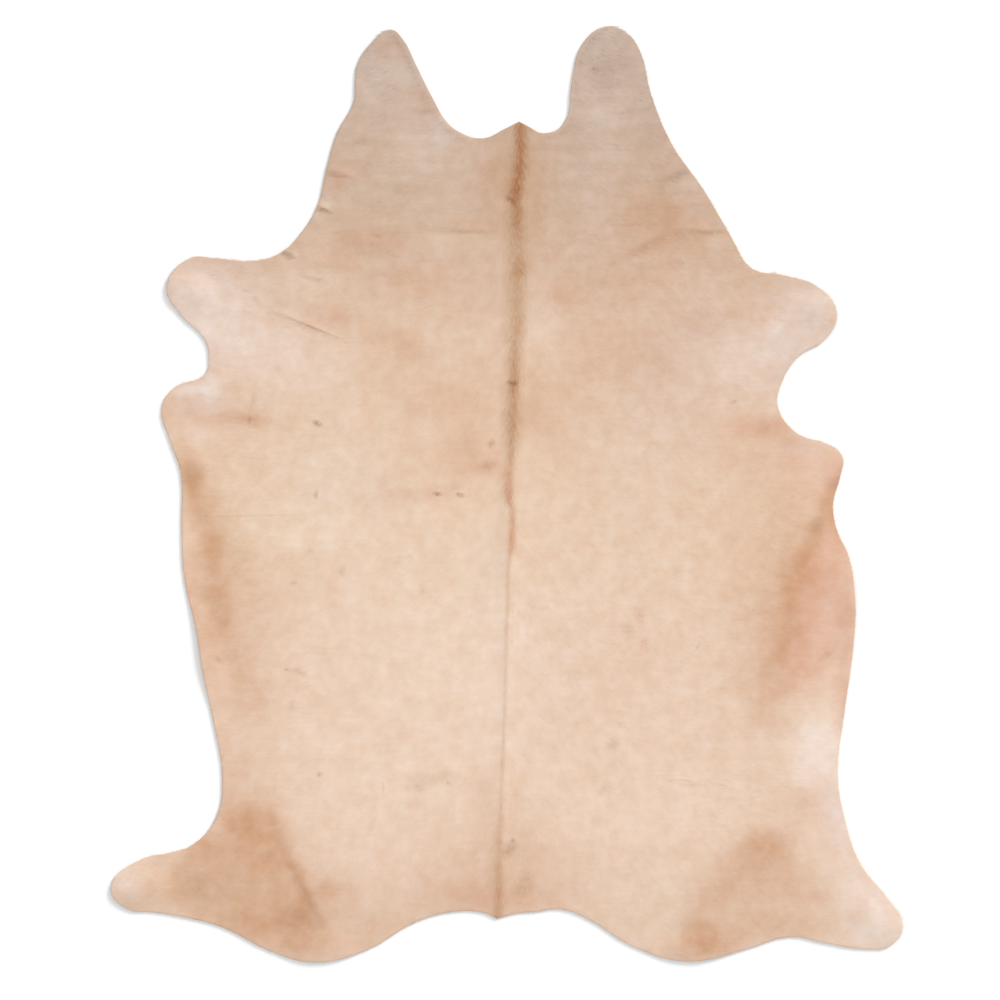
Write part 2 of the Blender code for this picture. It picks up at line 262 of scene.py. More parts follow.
# Patches of the coat in another tone: across, along, halfWidth, halfLength, amount, then a turn in
# degrees and a crispness for those that need them
coatPatches = {
    "neck": {
        "cream": [
            (-420, 625, 25, 90, 0.12), (-225, 795, 45, 45, 0.12), (-150, 580, 55, 30, 0.14),
        ],
        "brown": [
            (160, 795, 30, 70, 0.1), (331, 871, 18, 36, 0.12), (-260, 1030, 30, 30, 0.1),
            (295, 905, 35, 70, 0.06), (-323, 805, 16, 9, 0.2), (-248, 695, 21, 7, 0.12, -50),
            (-497, 549, 14, 7, 0.3, -20), (225, 1010, 70, 65, 0.07), (262, 985, 23, 16, 0.12),
            (283, 948, 18, 21, 0.12), (350, 815, 30, 25, 0.1), (315, 785, 40, 25, 0.08),
            (395, 739, 50, 14, 0.16, 20),
        ],
        "tan": [
            (285, 690, 30, 30, 0.16), (420, 555, 35, 25, 0.18), (240, 670, 80, 115, 0.08),
            (0, 765, 20, 90, 0.2), (55, 735, 25, 115, 0.16), (-5, 655, 20, 70, 0.2), (55, 645, 25, 80, 0.2),
            (360, 695, 70, 135, 0.1), (-255, 1025, 30, 25, 0.2), (80, 750, 35, 115, 0.2),
            (-35, 750, 30, 105, 0.16), (415, 695, 55, 70, 0.14), (-340, 580, 60, 30, 0.26, 5),
            (-390, 530, 60, 25, 0.14, 5), (-185, 475, 60, 35, 0.22), (-240, 500, 40, 25, 0.16),
            (-66, 609, 55, 16, 0.14), (-100, 735, 50, 80, 0.14), (160, 460, 50, 30, 0.16),
            (325, 660, 80, 25, 0.26, 4), (305, 625, 70, 25, 0.3, 5), (433, 600, 78, 9, 0.3),
            (358, 588, 36, 18, 0.34, 14), (294, 556, 59, 14, 0.32, 22), (235, 530, 80, 60, 0.1),
        ],
        "ash": [
            (420, 710, 35, 60, 0.22), (210, 670, 80, 180, 0.16), (-150, 830, 40, 45, 0.2),
            (-85, 735, 45, 70, 0.12),
        ],
        "rust": [
            (-185, 900, 25, 35, 0.12), (-380, 735, 40, 25, 0.26, 8), (-385, 707, 36, 18, 0.16),
            (-265, 580, 35, 30, 0.2, -20), (-385, 410, 40, 25, 0.12), (-50, 720, 30, 70, 0.12),
            (130, 450, 35, 25, 0.24), (380, 635, 40, 20, 0.16), (330, 485, 55, 35, 0.1),
        ],
        "pale": [
            (-290, 945, 35, 45, 0.14), (-175, 770, 70, 40, 0.12), (-140, 660, 70, 50, 0.06),
            (90, 415, 40, 35, 0.12), (210, 870, 55, 30, 0.12),
        ],
    },
    "shoulders": {
        "pale": [
            (-735, 415, 25, 30, 0.26), (-755, 440, 30, 60, 0.2), (-718, 235, 41, 14, 0.5, 14, 2),
            (-515, 480, 70, 30, 0.14), (-690, 390, 30, 30, 0.2), (-720, 490, 65, 40, 0.16),
            (-650, 440, 80, 60, 0.32), (-650, 355, 60, 60, 0.46), (-555, 330, 95, 70, 0.28),
            (-470, 280, 90, 60, 0.22), (-675, 245, 20, 35, 0.5, 0, 2), (-720, 140, 55, 35, 0.2),
            (-50, 360, 35, 30, 0.08), (695, 440, 80, 60, 0.28), (645, 375, 80, 45, 0.2),
            (590, 325, 80, 55, 0.2), (535, 280, 80, 70, 0.18), (475, 325, 70, 60, 0.16),
        ],
        "cream": [
            (-430, 460, 100, 60, 0.12), (-495, 125, 135, 70, 0.14), (-380, 260, 135, 90, 0.2),
            (70, 350, 50, 75, 0.26), (-150, 375, 135, 90, 0.14), (-565, 440, 115, 70, 0.1),
        ],
        "tan": [
            (-350, 265, 40, 35, 0.16), (-431, 144, 36, 18, 0.16), (400, 260, 65, 115, 0.12),
            (460, 365, 30, 25, 0.18), (280, 440, 90, 135, 0.08), (440, 375, 160, 90, 0.06),
            (125, 215, 55, 115, 0.1), (55, 185, 30, 70, 0.2), (-510, 460, 35, 25, 0.08),
            (-280, 365, 35, 25, 0.18), (-260, 275, 40, 30, 0.1), (-225, 330, 35, 25, 0.12),
            (30, 280, 25, 50, 0.1), (320, 325, 40, 30, 0.18), (280, 340, 90, 60, 0.14),
            (295, 280, 70, 25, 0.12), (575, 125, 100, 55, 0.12),
        ],
        "brown": [
            (680, 485, 60, 25, 0.06), (-574, 223, 7, 18, 0.16, -15),
        ],
        "ash": [
            (675, 110, 55, 25, 0.24), (660, 310, 25, 35, 0.2), (-685, 250, 35, 30, 0.2),
            (-665, 440, 90, 90, 0.16), (700, 435, 60, 80, 0.2), (650, 310, 65, 80, 0.36),
            (370, 215, 135, 115, 0.2), (415, 375, 115, 90, 0.16), (-690, 210, 70, 30, 0.3),
        ],
        "rust": [
            (-565, 110, 90, 35, 0.08), (-380, 410, 30, 25, 0.14), (-420, 390, 35, 25, 0.14),
            (-235, 335, 55, 35, 0.18), (-205, 195, 25, 20, 0.16), (-659, 328, 27, 18, 0.36),
            (-613, 173, 68, 18, 0.3, 4), (-586, 169, 27, 11, 0.3), (-535, 160, 60, 25, 0.18),
            (-720, 185, 70, 30, 0.26), (-75, 415, 55, 20, 0.14), (-120, 220, 45, 30, 0.2),
            (-85, 135, 35, 55, 0.16), (55, 180, 35, 30, 0.16), (440, 385, 40, 25, 0.22),
            (513, 410, 32, 18, 0.14), (580, 155, 60, 20, 0.36), (635, 125, 35, 25, 0.2),
        ],
        "pink": [
            (670, 80, 90, 45, 0.22), (520, 150, 60, 25, 0.24),
        ],
    },
    "back": {
        "tan": [
            (305, -335, 90, 80, 0.06), (-200, -275, 115, 90, 0.05), (-450, -240, 80, 135, 0.06),
            (-15, -765, 135, 70, 0.08), (-95, 90, 45, 40, 0.16), (-270, 20, 25, 35, 0.08),
            (305, -310, 45, 20, 0.05, -40), (260, -470, 160, 135, 0.05), (-425, -490, 135, 135, 0.03),
            (210, -380, 135, 230, 0.03),
        ],
        "cream": [
            (-55, -60, 45, 55, 0.14), (-405, 100, 160, 115, 0.14), (55, 55, 35, 90, 0.1),
            (-175, -310, 230, 180, 0.2), (-200, -105, 135, 90, 0.08), (-515, -70, 160, 70, 0.34),
            (-245, -650, 205, 115, 0.06), (260, -745, 180, 115, 0.08),
        ],
        "pale": [
            (-15, -470, 90, 135, 0.08), (680, 55, 55, 30, 0.08),
        ],
        "ash": [
            (-40, -150, 35, 90, 0.18), (260, -115, 160, 90, 0.06), (-380, 30, 130, 115, 0.16),
            (305, 55, 180, 135, 0.1),
        ],
        "rust": [
            (-50, 62, 46, 18, 0.24), (-198, 0, 82, 16, 0.22), (-105, 65, 80, 45, 0.12),
            (531, 68, 114, 18, 0.16), (635, -15, 50, 70, 0.16),
        ],
        "brown": [
            (-175, -641, 46, 11, 0.12),
        ],
    },
    "left flank": {
        "tan": [
            (-735, 95, 30, 35, 0.26), (-630, -240, 90, 135, 0.08), (-715, 25, 20, 55, 0.34, 16, 2),
            (-675, -115, 25, 80, 0.3, 10, 2), (-655, -255, 30, 80, 0.22, 4, 2), (-720, 35, 30, 40, 0.55),
            (-700, -15, 35, 45, 0.28), (-690, -60, 40, 45, 0.26), (-665, -125, 30, 35, 0.3),
            (-670, -150, 50, 55, 0.16), (-680, -225, 50, 65, 0.3), (-660, -295, 40, 40, 0.2),
            (-625, -385, 45, 45, 0.24), (-580, -450, 45, 55, 0.24), (-610, -265, 90, 100, 0.12),
            (-610, -195, 80, 180, 0.22), (-690, -380, 50, 100, 0.2), (-585, -540, 80, 135, 0.14),
        ],
        "cream": [
            (-570, -205, 50, 105, 0.12),
        ],
        "brown": [
            (-720, 40, 25, 25, 0.2),
        ],
        "rust": [
            (-650, -335, 30, 25, 0.2),
        ],
        "pink": [
            (-730, -220, 25, 135, 0.34), (-645, -550, 45, 115, 0.14),
        ],
    },
    "right flank": {
        "tan": [
            (765, -55, 20, 60, 0.5), (680, -290, 25, 60, 0.24), (645, -395, 35, 35, 0.3),
            (565, -525, 60, 45, 0.08), (745, -25, 25, 70, 0.26), (685, -90, 25, 35, 0.16, -20),
            (615, -235, 40, 115, 0.08), (670, -250, 60, 90, 0.12), (750, -60, 25, 60, 0.3),
            (773, -470, 16, 114, 0.3), (600, -515, 55, 45, 0.12), (695, -105, 20, 60, 0.3, -26, 2),
            (660, -190, 40, 55, 0.36, -24, 2), (640, -335, 30, 45, 0.34, -4, 2), (755, -15, 30, 60, 0.26),
            (485, -380, 70, 115, 0.08), (725, -30, 20, 25, 0.3, -20), (710, -75, 25, 35, 0.46, -22),
            (695, -140, 30, 35, 0.48, -22), (670, -195, 45, 40, 0.6, -20), (655, -255, 30, 40, 0.5),
            (640, -315, 45, 50, 0.4, -6), (625, -380, 45, 40, 0.36), (595, -435, 45, 35, 0.26),
            (570, -485, 35, 25, 0.22), (585, -335, 45, 115, 0.28), (530, -195, 80, 205, 0.16),
            (635, -150, 60, 90, 0.24), (670, -700, 60, 35, 0.2), (600, -650, 90, 60, 0.12),
            (530, -540, 80, 70, 0.06),
        ],
        "cream": [
            (615, -635, 70, 55, 0.14),
        ],
        "pale": [
            (750, -710, 25, 90, 0.3), (695, -555, 30, 45, 0.46), (715, -610, 45, 45, 0.5),
            (740, -550, 30, 40, 0.12), (680, -640, 35, 25, 0.2),
        ],
        "rust": [
            (775, -235, 25, 60, 0.26), (760, 40, 25, 30, 0.2), (739, 5, 18, 27, 0.36, -20),
            (625, -445, 30, 25, 0.2), (775, -280, 25, 40, 0.34),
        ],
        "pink": [
            (700, 30, 60, 55, 0.22), (740, -700, 45, 90, 0.14), (755, -40, 30, 90, 0.3),
            (685, -280, 30, 90, 0.2), (725, -195, 60, 100, 0.46), (725, -335, 65, 80, 0.44),
            (755, -115, 35, 55, 0.26), (680, -405, 60, 55, 0.34), (770, -425, 25, 70, 0.2),
        ],
        "ash": [
            (755, -725, 35, 80, 0.3),
        ],
        "brown": [
            (750, 27, 14, 18, 0.3, -20), (702, -71, 14, 23, 0.2, -20),
        ],
    },
    "haunches": {
        "cream": [
            (335, -925, 80, 80, 0.12),
        ],
        "tan": [
            (-690, -815, 60, 40, 0.42), (-735, -860, 55, 25, 0.22), (-630, -725, 30, 40, 0.3),
            (-545, -845, 40, 45, 0.28), (-580, -1000, 40, 25, 0.26), (475, -1025, 55, 30, 0.5),
            (620, -880, 50, 55, 0.2), (-565, -785, 75, 70, 0.26, 0, 2), (-565, -905, 135, 80, 0.2, 0, 2),
            (-474, -875, 16, 119, 0.36, 26, 2), (-470, -980, 55, 55, 0.25, 0, 2),
            (580, -815, 60, 55, 0.22, 0, 2), (480, -905, 30, 140, 0.2, -32, 2), (-685, -800, 40, 35, 0.3),
            (-610, -980, 115, 30, 0.25), (-625, -645, 50, 55, 0.22), (-570, -710, 65, 45, 0.22),
            (-585, -755, 65, 50, 0.46, 0, 2), (-565, -800, 80, 55, 0.38), (-520, -830, 35, 55, 0.16, 25),
            (-610, -860, 115, 50, 0.2), (-515, -900, 70, 50, 0.2), (-480, -965, 55, 40, 0.34),
            (-575, -960, 100, 50, 0.44), (-715, -895, 90, 50, 0.38), (-470, -1025, 90, 30, 0.42),
            (-790, -905, 70, 45, 0.16), (-420, -905, 60, 25, 0.34), (595, -795, 65, 40, 0.2),
            (590, -805, 45, 40, 0.26, 0, 2), (545, -850, 90, 55, 0.18), (600, -905, 105, 80, 0.16, 0, 2),
            (490, -915, 80, 55, 0.2), (440, -1010, 40, 40, 0.4, 0, 2), (420, -1040, 40, 25, 0.34),
            (715, -930, 30, 30, 0.16), (695, -910, 45, 25, 0.2), (575, -985, 115, 30, 0.3),
            (670, -990, 45, 25, 0.16), (670, -810, 90, 55, 0.06), (650, -725, 45, 30, 0.06),
        ],
        "pale": [
            (815, -1000, 60, 25, 0.3), (-870, -890, 30, 30, 0.16), (-865, -895, 40, 30, 0.16),
            (850, -965, 50, 60, 0.46), (780, -880, 60, 60, 0.22),
        ],
        "brown": [
            (-475, -965, 40, 30, 0.2),
        ],
        "rust": [
            (-370, -980, 60, 45, 0.1), (-390, -905, 50, 30, 0.16),
        ],
    },
    "rump": {
        "brown": [
            (12, -805, 18, 23, 0.24, -30), (-700, -905, 80, 55, 0.07),
        ],
        "tan": [
            (-15, -855, 150, 80, 0.26), (40, -915, 40, 25, 0.12), (-290, -995, 135, 45, 0.14),
            (-210, -925, 90, 45, 0.06),
        ],
        "rust": [
            (-15, -925, 150, 50, 0.22), (-85, -910, 80, 35, 0.16), (-50, -685, 25, 50, 0.2),
            (20, -700, 25, 60, 0.12),
        ],
    },
}


# Heights and distances on the hide, for many places at once

relief = {
    "backboneHeight": 1.3 * mm,  # the thick skin over the backbone
    "backboneHalfWidth": 32 * mm,
    "backboneFade": 90 * mm,
    "puckerHeight": 0.55 * mm,  # soft cross wrinkles on the neck
    "puckerPitch": 26 * mm,
    "puckerStretch": 3.2,  # how much wider than long they are
    "puckersAlong": (250 * mm, 600 * mm),  # where they begin, and where they are full
    "puckersAside": (30 * mm, 160 * mm),
    "unevenHeight": 0.35 * mm,
    "unevenPitch": 120 * mm,
}


def backboneAcross(y):
    along, across = np.array(backboneLine).T * mm
    return np.interp(y, along, across)


def hump(share):
    return np.clip(1 - share * share, 0, None) ** 2


def smoothStep(low, high, value):
    share = np.clip((value - low) / (high - low), 0, 1)
    return share * share * (3 - 2 * share)


def reachOf(ridge, x, y):
    # 0 in a ridge's middle and 1 where its long oval ends
    start, end = np.array(ridge.start) * mm, np.array(ridge.end) * mm
    length = np.hypot(*(end - start))
    way = (end - start) / length
    offX, offY = x - (start[0] + end[0]) / 2, y - (start[1] + end[1]) / 2
    halfWidth = ridge.halfWidth * mm
    along = (offX * way[0] + offY * way[1]) / (length / 2 + halfWidth)
    across = (offY * way[0] - offX * way[1]) / halfWidth
    return np.hypot(along, across)


def liftAt(x, y):
    # How high the skin's underside lies over the floor
    fromEnds = np.minimum(y - backboneLine[0][0] * mm, backboneLine[-1][0] * mm - y)
    fade = np.clip(fromEnds / relief["backboneFade"], 0, 1)
    aside = (x - backboneAcross(y)) / relief["backboneHalfWidth"]
    lift = relief["backboneHeight"] * fade * hump(aside)
    for ridge in ridges + swells:
        lift = np.maximum(lift, ridge.height * mm * hump(reachOf(ridge, x, y)))
    return lift


def noiseAt(x, y, pitch, layer):
    return np.array([noise.noise(Vector((a, b, layer))) for a, b in zip(x / pitch, y / pitch)])


def unevennessAt(x, y):
    # Small swells all over, and cross puckers where the neck skin gathered
    aside = np.abs(x - backboneAcross(y))
    onNeck = smoothStep(*relief["puckersAlong"], y) * smoothStep(*relief["puckersAside"], aside)
    ripple = noiseAt(x / relief["puckerStretch"], y, relief["puckerPitch"], 1.7)
    wide = noiseAt(x, y, relief["unevenPitch"], 0.3)
    return relief["unevenHeight"] * wide + relief["puckerHeight"] * onNeck * ripple


def distanceToLine(x, y, points):
    nearest = np.full(len(x), 1e9)
    for start, end in zip(points, points[1:]):
        start, end = np.array(start) * mm, np.array(end) * mm
        way = end - start
        share = np.clip(((x - start[0]) * way[0] + (y - start[1]) * way[1]) / (way @ way), 0, 1)
        off = np.hypot(x - start[0] - share * way[0], y - start[1] - share * way[1])
        nearest = np.minimum(nearest, off)
    return nearest


# The flat hide, cut into small cells that line up with the backbone

hideCells = {
    "coatCell": 9 * mm,
    "skinCell": 18 * mm,
    "rimRings": (1.6 * mm, 3.4 * mm),  # widths of the bands that follow the rim
    "backboneCuts": (-16, -8, 8, 16),  # extra cuts beside the backbone, in millimetres
    "creaseCuts": (-5, 0, 5),  # cuts along a crease, in millimetres from it
    "creaseReach": 9 * mm,
    "rimStep": 2 * mm,  # how far apart the points along the rim are
}


def cutPlane(sheet, faces, point, normal):
    edges = dict.fromkeys(edge for face in faces for edge in face.edges)
    verts = dict.fromkeys(vert for face in faces for vert in face.verts)
    made = bmesh.ops.bisect_plane(
        sheet, geom=[*verts, *edges, *faces], dist=0.05 * mm, plane_co=point, plane_no=normal
    )
    return [item for item in made["geom"] if isinstance(item, bmesh.types.BMFace)]


def cutLines(sheet, faces, axis, lines):
    # Cuts at the middle line first, then each half on its own, so that no cut meets many faces
    if not lines or not faces:
        return
    middle = lines[len(lines) // 2]
    normal = Vector((1 - axis, axis, 0))
    faces = cutPlane(sheet, faces, normal * middle, normal)
    lower = [face for face in faces if face.calc_center_median()[axis] < middle]
    upper = [face for face in faces if face.calc_center_median()[axis] >= middle]
    cutLines(sheet, lower, axis, lines[: len(lines) // 2])
    cutLines(sheet, upper, axis, lines[len(lines) // 2 + 1 :])


def cutCrease(sheet, crease):
    reach = hideCells["creaseReach"]
    for start, end in zip(crease.points, crease.points[1:]):
        start, end = Vector((*start, 0)) * mm, Vector((*end, 0)) * mm
        way = (end - start).normalized()
        side = Vector((-way.y, way.x, 0))
        near = []
        for face in sheet.faces:
            off = face.calc_center_median() - start
            if abs(off.dot(side)) < reach and -reach < off.dot(way) < (end - start).length + reach:
                near.append(face)
        for offset in hideCells["creaseCuts"]:
            near = cutPlane(sheet, near, start + side * offset * mm, side)


def flatHide(cell):
    # The CAD hide's underside, pressed flat and joined into one face with the hide's outline
    sheet = bmesh.new()
    sheet.from_mesh(frame["nodes"]["hide"].data)
    sheet.verts.layers.float.new("onTop")
    bmesh.ops.remove_doubles(sheet, verts=sheet.verts, dist=0.01 * mm)
    notBelow = [face for face in sheet.faces if face.normal.z > -0.5]
    bmesh.ops.delete(sheet, geom=notBelow, context="FACES")
    bmesh.ops.scale(sheet, vec=(1, 1, 0), verts=sheet.verts)
    bmesh.ops.dissolve_faces(sheet, faces=sheet.faces)
    bmesh.ops.reverse_faces(sheet, faces=sheet.faces)
    for width in hideCells["rimRings"]:
        inner = max(sheet.faces, key=lambda face: face.calc_area())
        bmesh.ops.inset_region(
            sheet, faces=[inner], thickness=width, use_even_offset=True, use_boundary=True
        )
    for vert in sheet.verts:
        vert.co.x -= backboneAcross(vert.co.y)
    lineCount = int(cadHigh.y / cell) + 2
    lines = [number * cell for number in range(-lineCount, lineCount)]
    beside = [offset * mm for offset in hideCells["backboneCuts"]]
    cutLines(sheet, list(sheet.faces), 0, sorted(lines + beside))
    cutLines(sheet, list(sheet.faces), 1, lines)
    for vert in sheet.verts:
        vert.co.x += backboneAcross(vert.co.y)
    for crease in creases:
        cutCrease(sheet, crease)
    print("flat hide cut into", len(sheet.faces), "cells")
    return sheet


def rimPoints(sheet):
    # Points close together along the rim, each with the way out of the hide
    found = []
    for edge in sheet.edges:
        if edge.is_boundary:
            start, end = edge.link_loops[0].vert.co, edge.link_loops[0].link_loop_next.vert.co
            way = (end - start).normalized()
            steps = max(1, round((end - start).length / hideCells["rimStep"]))
            for step in range(steps):
                found.append((start.lerp(end, (step + 0.5) / steps), Vector((way.y, -way.x, 0))))
    return found


# Small tools for meshes and materials


def showObject(name, mesh):
    obj = bpy.data.objects.new(name, mesh)
    bpy.context.scene.collection.objects.link(obj)
    return obj


def linear(hexValue):
    # An sRGB hex colour as linear red, green, blue and alpha
    parts = [int(hexValue[place : place + 2], 16) / 255 for place in (1, 3, 5)]
    return (*(part / 12.92 if part <= 0.04045 else ((part + 0.055) / 1.055) ** 2.4 for part in parts), 1)


def addNode(tree, kind, inputs=None, **settings):
    # Adds a node with its settings, and sets or links its inputs by name or number
    node = tree.nodes.new(kind)
    for setting, value in settings.items():
        setattr(node, setting, value)
    for socket, value in (inputs or {}).items():
        if isinstance(value, bpy.types.NodeSocket):
            tree.links.new(value, node.inputs[socket])
        else:
            node.inputs[socket].default_value = value
    return node


def places(mesh):
    values = np.zeros(len(mesh.vertices) * 3, np.float32)
    mesh.vertices.foreach_get("co", values)
    return values.reshape(-1, 3).astype(float)


def writeAttribute(mesh, name, values, kind="FLOAT"):
    attribute = mesh.attributes.new(name, kind, "POINT")
    field = "vector" if kind == "FLOAT_VECTOR" else "value"
    attribute.data.foreach_set(field, np.ravel(values).astype(np.float32))


# What the coat is like at each place

coatLook = {
    "warpWide": (12 * mm, 75 * mm),  # how far, and over what pitch, the patches' edges wander
    "warpFine": (5 * mm, 22 * mm),
    "patchFade": 0.9,  # how soon a patch fades from its middle
    "creaseFade": 30 * mm,  # the painted crease shade fades towards its ends over this length, down to this share
    "creaseEnd": 0.25,  # down to this share
    "lieBesideBackbone": 28,  # in degrees from straight to the tail (0) to straight outwards (90)
    "lieOnSides": (34, 0, 220 * mm),  # added to it, and between which distances from the backbone
    "lieOnFlanks": (16, 350 * mm, 650 * mm),
    "lieOnRump": -22,
    "rumpAlong": (-620 * mm, -850 * mm),
    "rumpAside": (450 * mm, 700 * mm),
    "lieWander": (10, 90 * mm),  # in degrees, and its pitch
    "partingWidth": 10 * mm,  # over which the lie changes sides at the backbone
    "bentAtRim": 14 * mm,  # how near the rim the hair bends outwards,
    "rimBend": (0.5, 0.9),  # and how much, where it lies inwards and where it lies outwards
    "hairLength": 14 * mm,
    "neckHairLength": 17 * mm,
    "neckAlong": (300 * mm, 700 * mm),
    "shankHairLength": 10 * mm,
    "shankAside": (600 * mm, 720 * mm),
    "shortestHair": 3 * mm,
    "overhang": 2.5 * mm,  # how far hair tips may reach past the rim
    "strandRelief": 0.16 * mm,  # how much a strand stands out from the next
    "clumpRelief": 0.3 * mm,  # and a clump of strands
}
tones = ("cream", "tan", "rust", "pink", "pale", "ash", "brown")


def patchShares(x, y):
    # How much of each tone lies at each place, with edges that wander
    for reach, pitch in (coatLook["warpWide"], coatLook["warpFine"]):
        shiftX, shiftY = reach * noiseAt(x, y, pitch, 3.1), reach * noiseAt(x, y, pitch, 8.6)
        x, y = x + shiftX, y + shiftY
    shares = {tone: np.zeros(len(x)) for tone in tones}
    for tone, rows in (item for region in coatPatches.values() for item in region.items()):
        for patch in (Patch(*row) for row in rows):
            turn = math.radians(patch.turn)
            offX, offY = x / mm - patch.across, y / mm - patch.along
            side = (offX * math.cos(turn) + offY * math.sin(turn)) / patch.halfWidth
            length = (offY * math.cos(turn) - offX * math.sin(turn)) / patch.halfLength
            near = np.exp(-coatLook["patchFade"] * (side * side + length * length) ** patch.crispness)
            shares[tone] = 1 - (1 - shares[tone]) * (1 - patch.amount * near)
    return shares


def lieAt(aside):
    lie = coatLook["lieBesideBackbone"]
    for added, start, full in (coatLook["lieOnSides"], coatLook["lieOnFlanks"]):
        lie = lie + added * smoothStep(start, full, aside)
    return lie


def hairAngle(x, y):
    aside = np.abs(x - backboneAcross(y))
    onRump = smoothStep(*coatLook["rumpAlong"], y) * (1 - smoothStep(*coatLook["rumpAside"], aside))
    wander, pitch = coatLook["lieWander"]
    return np.radians(lieAt(aside) + coatLook["lieOnRump"] * onRump + wander * noiseAt(x, y, pitch, 5.2))


def hairLine(x, y):
    # A length that stays the same along the lie, so that streaks drawn across it follow the hair
    asides = np.linspace(0, 1, 201)
    slopes = 1 / np.tan(np.radians(lieAt(asides)))
    climbed = np.cumsum(slopes) * (asides[1] - asides[0])
    return y + np.interp(np.abs(x - backboneAcross(y)), asides, climbed)


def paintedCreaseShade(x, y):
    # How much painted shade darkens the coat along each crease
    dark = np.zeros(len(x))
    for crease in creases:
        fromLine = distanceToLine(x, y, crease.points) / (crease.width * mm)
        ends = (crease.points[0], crease.points[-1])
        fromEnds = np.minimum(*(np.hypot(x - end[0] * mm, y - end[1] * mm) for end in ends))
        fade = 1 - (1 - coatLook["creaseEnd"]) * (1 - smoothStep(0, coatLook["creaseFade"], fromEnds))
        dark = np.maximum(dark, crease.depth * fade * np.clip(1 - fromLine, 0, 1))
    return dark


def writeColours(mesh, x, y):
    # What the coat's colours are drawn from
    for tone, share in patchShares(x, y).items():
        writeAttribute(mesh, tone + "Share", share)
    along, across, halfWidth, rust, gold = np.array(backboneHair).T
    across, halfWidth, rust, gold = (
        np.interp(y, along * mm, column) for column in (across, halfWidth, rust, gold)
    )
    writeAttribute(mesh, "backboneAside", (x / mm - across) / halfWidth)
    writeAttribute(mesh, "backboneRust", rust)
    writeAttribute(mesh, "backboneGold", gold)
    writeAttribute(mesh, "paintedCreaseShade", paintedCreaseShade(x, y))
    writeAttribute(mesh, "hairLine", hairLine(x, y))


def writeLie(mesh, x, y, rimTree, rim):
    # Which way the hair lies at each place, and how long it is
    nearest = [rimTree.find(Vector((a, b, 0))) for a, b in zip(x, y)]
    fromRim = np.array([found[2] for found in nearest])
    outward = np.array([rim[found[1]][1] for found in nearest])
    angle = hairAngle(x, y)
    side = np.tanh((x - backboneAcross(y)) / coatLook["partingWidth"])
    way = np.stack([side * np.sin(angle), -np.cos(angle), np.zeros(len(x))], 1)
    inwards, outwards = coatLook["rimBend"]
    bend = np.where(np.sum(way * outward, 1) > 0, outwards, inwards)
    bend *= 1 - smoothStep(0, coatLook["bentAtRim"], fromRim)
    way += outward * bend[:, None]
    way /= np.linalg.norm(way, axis=1)[:, None]
    writeAttribute(mesh, "hairWay", way, "FLOAT_VECTOR")

    onNeck = smoothStep(*coatLook["neckAlong"], y)
    onShank = smoothStep(*coatLook["shankAside"], np.abs(x))
    length = coatLook["hairLength"] + (coatLook["neckHairLength"] - coatLook["hairLength"]) * onNeck
    length += (coatLook["shankHairLength"] - length) * onShank
    facing = np.clip(np.sum(way * outward, 1), 0.05, 1)
    room = np.maximum((fromRim + coatLook["overhang"]) / facing, coatLook["shortestHair"])
    writeAttribute(mesh, "hairLength", np.minimum(length, room))


def writeCoat(mesh, rimTree, rim):
    x, y = places(mesh)[:, :2].T
    writeColours(mesh, x, y)
    writeLie(mesh, x, y, rimTree, rim)


# The two sheets: the skin, and the coat of short hair on it

sheets = {
    "skin": 2.4 * mm,
    "coat": 1.1 * mm,
    "overlap": 0.1 * mm,  # how far the coat is rooted in the skin
    "coatRim": 9 * mm,  # over which width the coat thins out towards the rim,
    "thinnest": 0.6,  # down to this share
    "uvMargin": 0.015,
    "uvHiddenSize": 0.14,  # the hidden side lies small in a corner that the hide leaves free
    "uvHiddenCorner": (0.01, 0.84),
    "uvRimWidth": 0.003,
}


def closedSheet(flatSheet, shownUp):
    # A copy of the flat sheet below and one above, joined at the rim
    sheet = flatSheet.copy()
    onTop = sheet.verts.layers.float["onTop"]
    below = list(sheet.faces)
    edgeOrder = {edge: number for number, edge in enumerate(sheet.edges)}
    made = bmesh.ops.extrude_face_region(sheet, geom=below, use_keep_orig=True)
    above = [item for item in made["geom"] if isinstance(item, bmesh.types.BMFace)]
    for item in made["geom"]:
        if isinstance(item, bmesh.types.BMVert):
            item[onTop] = 1
    flatFaces = set(below) | set(above)
    rimFaces = [face for face in sheet.faces if face not in flatFaces]
    # The extrusion adds the rim in no fixed order, so the rim is put in the order of its edges
    rimFaces.sort(key=lambda face: min(edgeOrder.get(edge, len(edgeOrder)) for edge in face.edges))
    faceOrder = {face: number for number, face in enumerate([*below, *above, *rimFaces])}
    sheet.faces.sort(key=faceOrder.get)
    for face in rimFaces:
        face.material_index = 1
    shown, hidden = (above, below) if shownUp else (below, above)
    layOutUv(sheet, shown, hidden, rimFaces, onTop, shownUp)
    return sheet


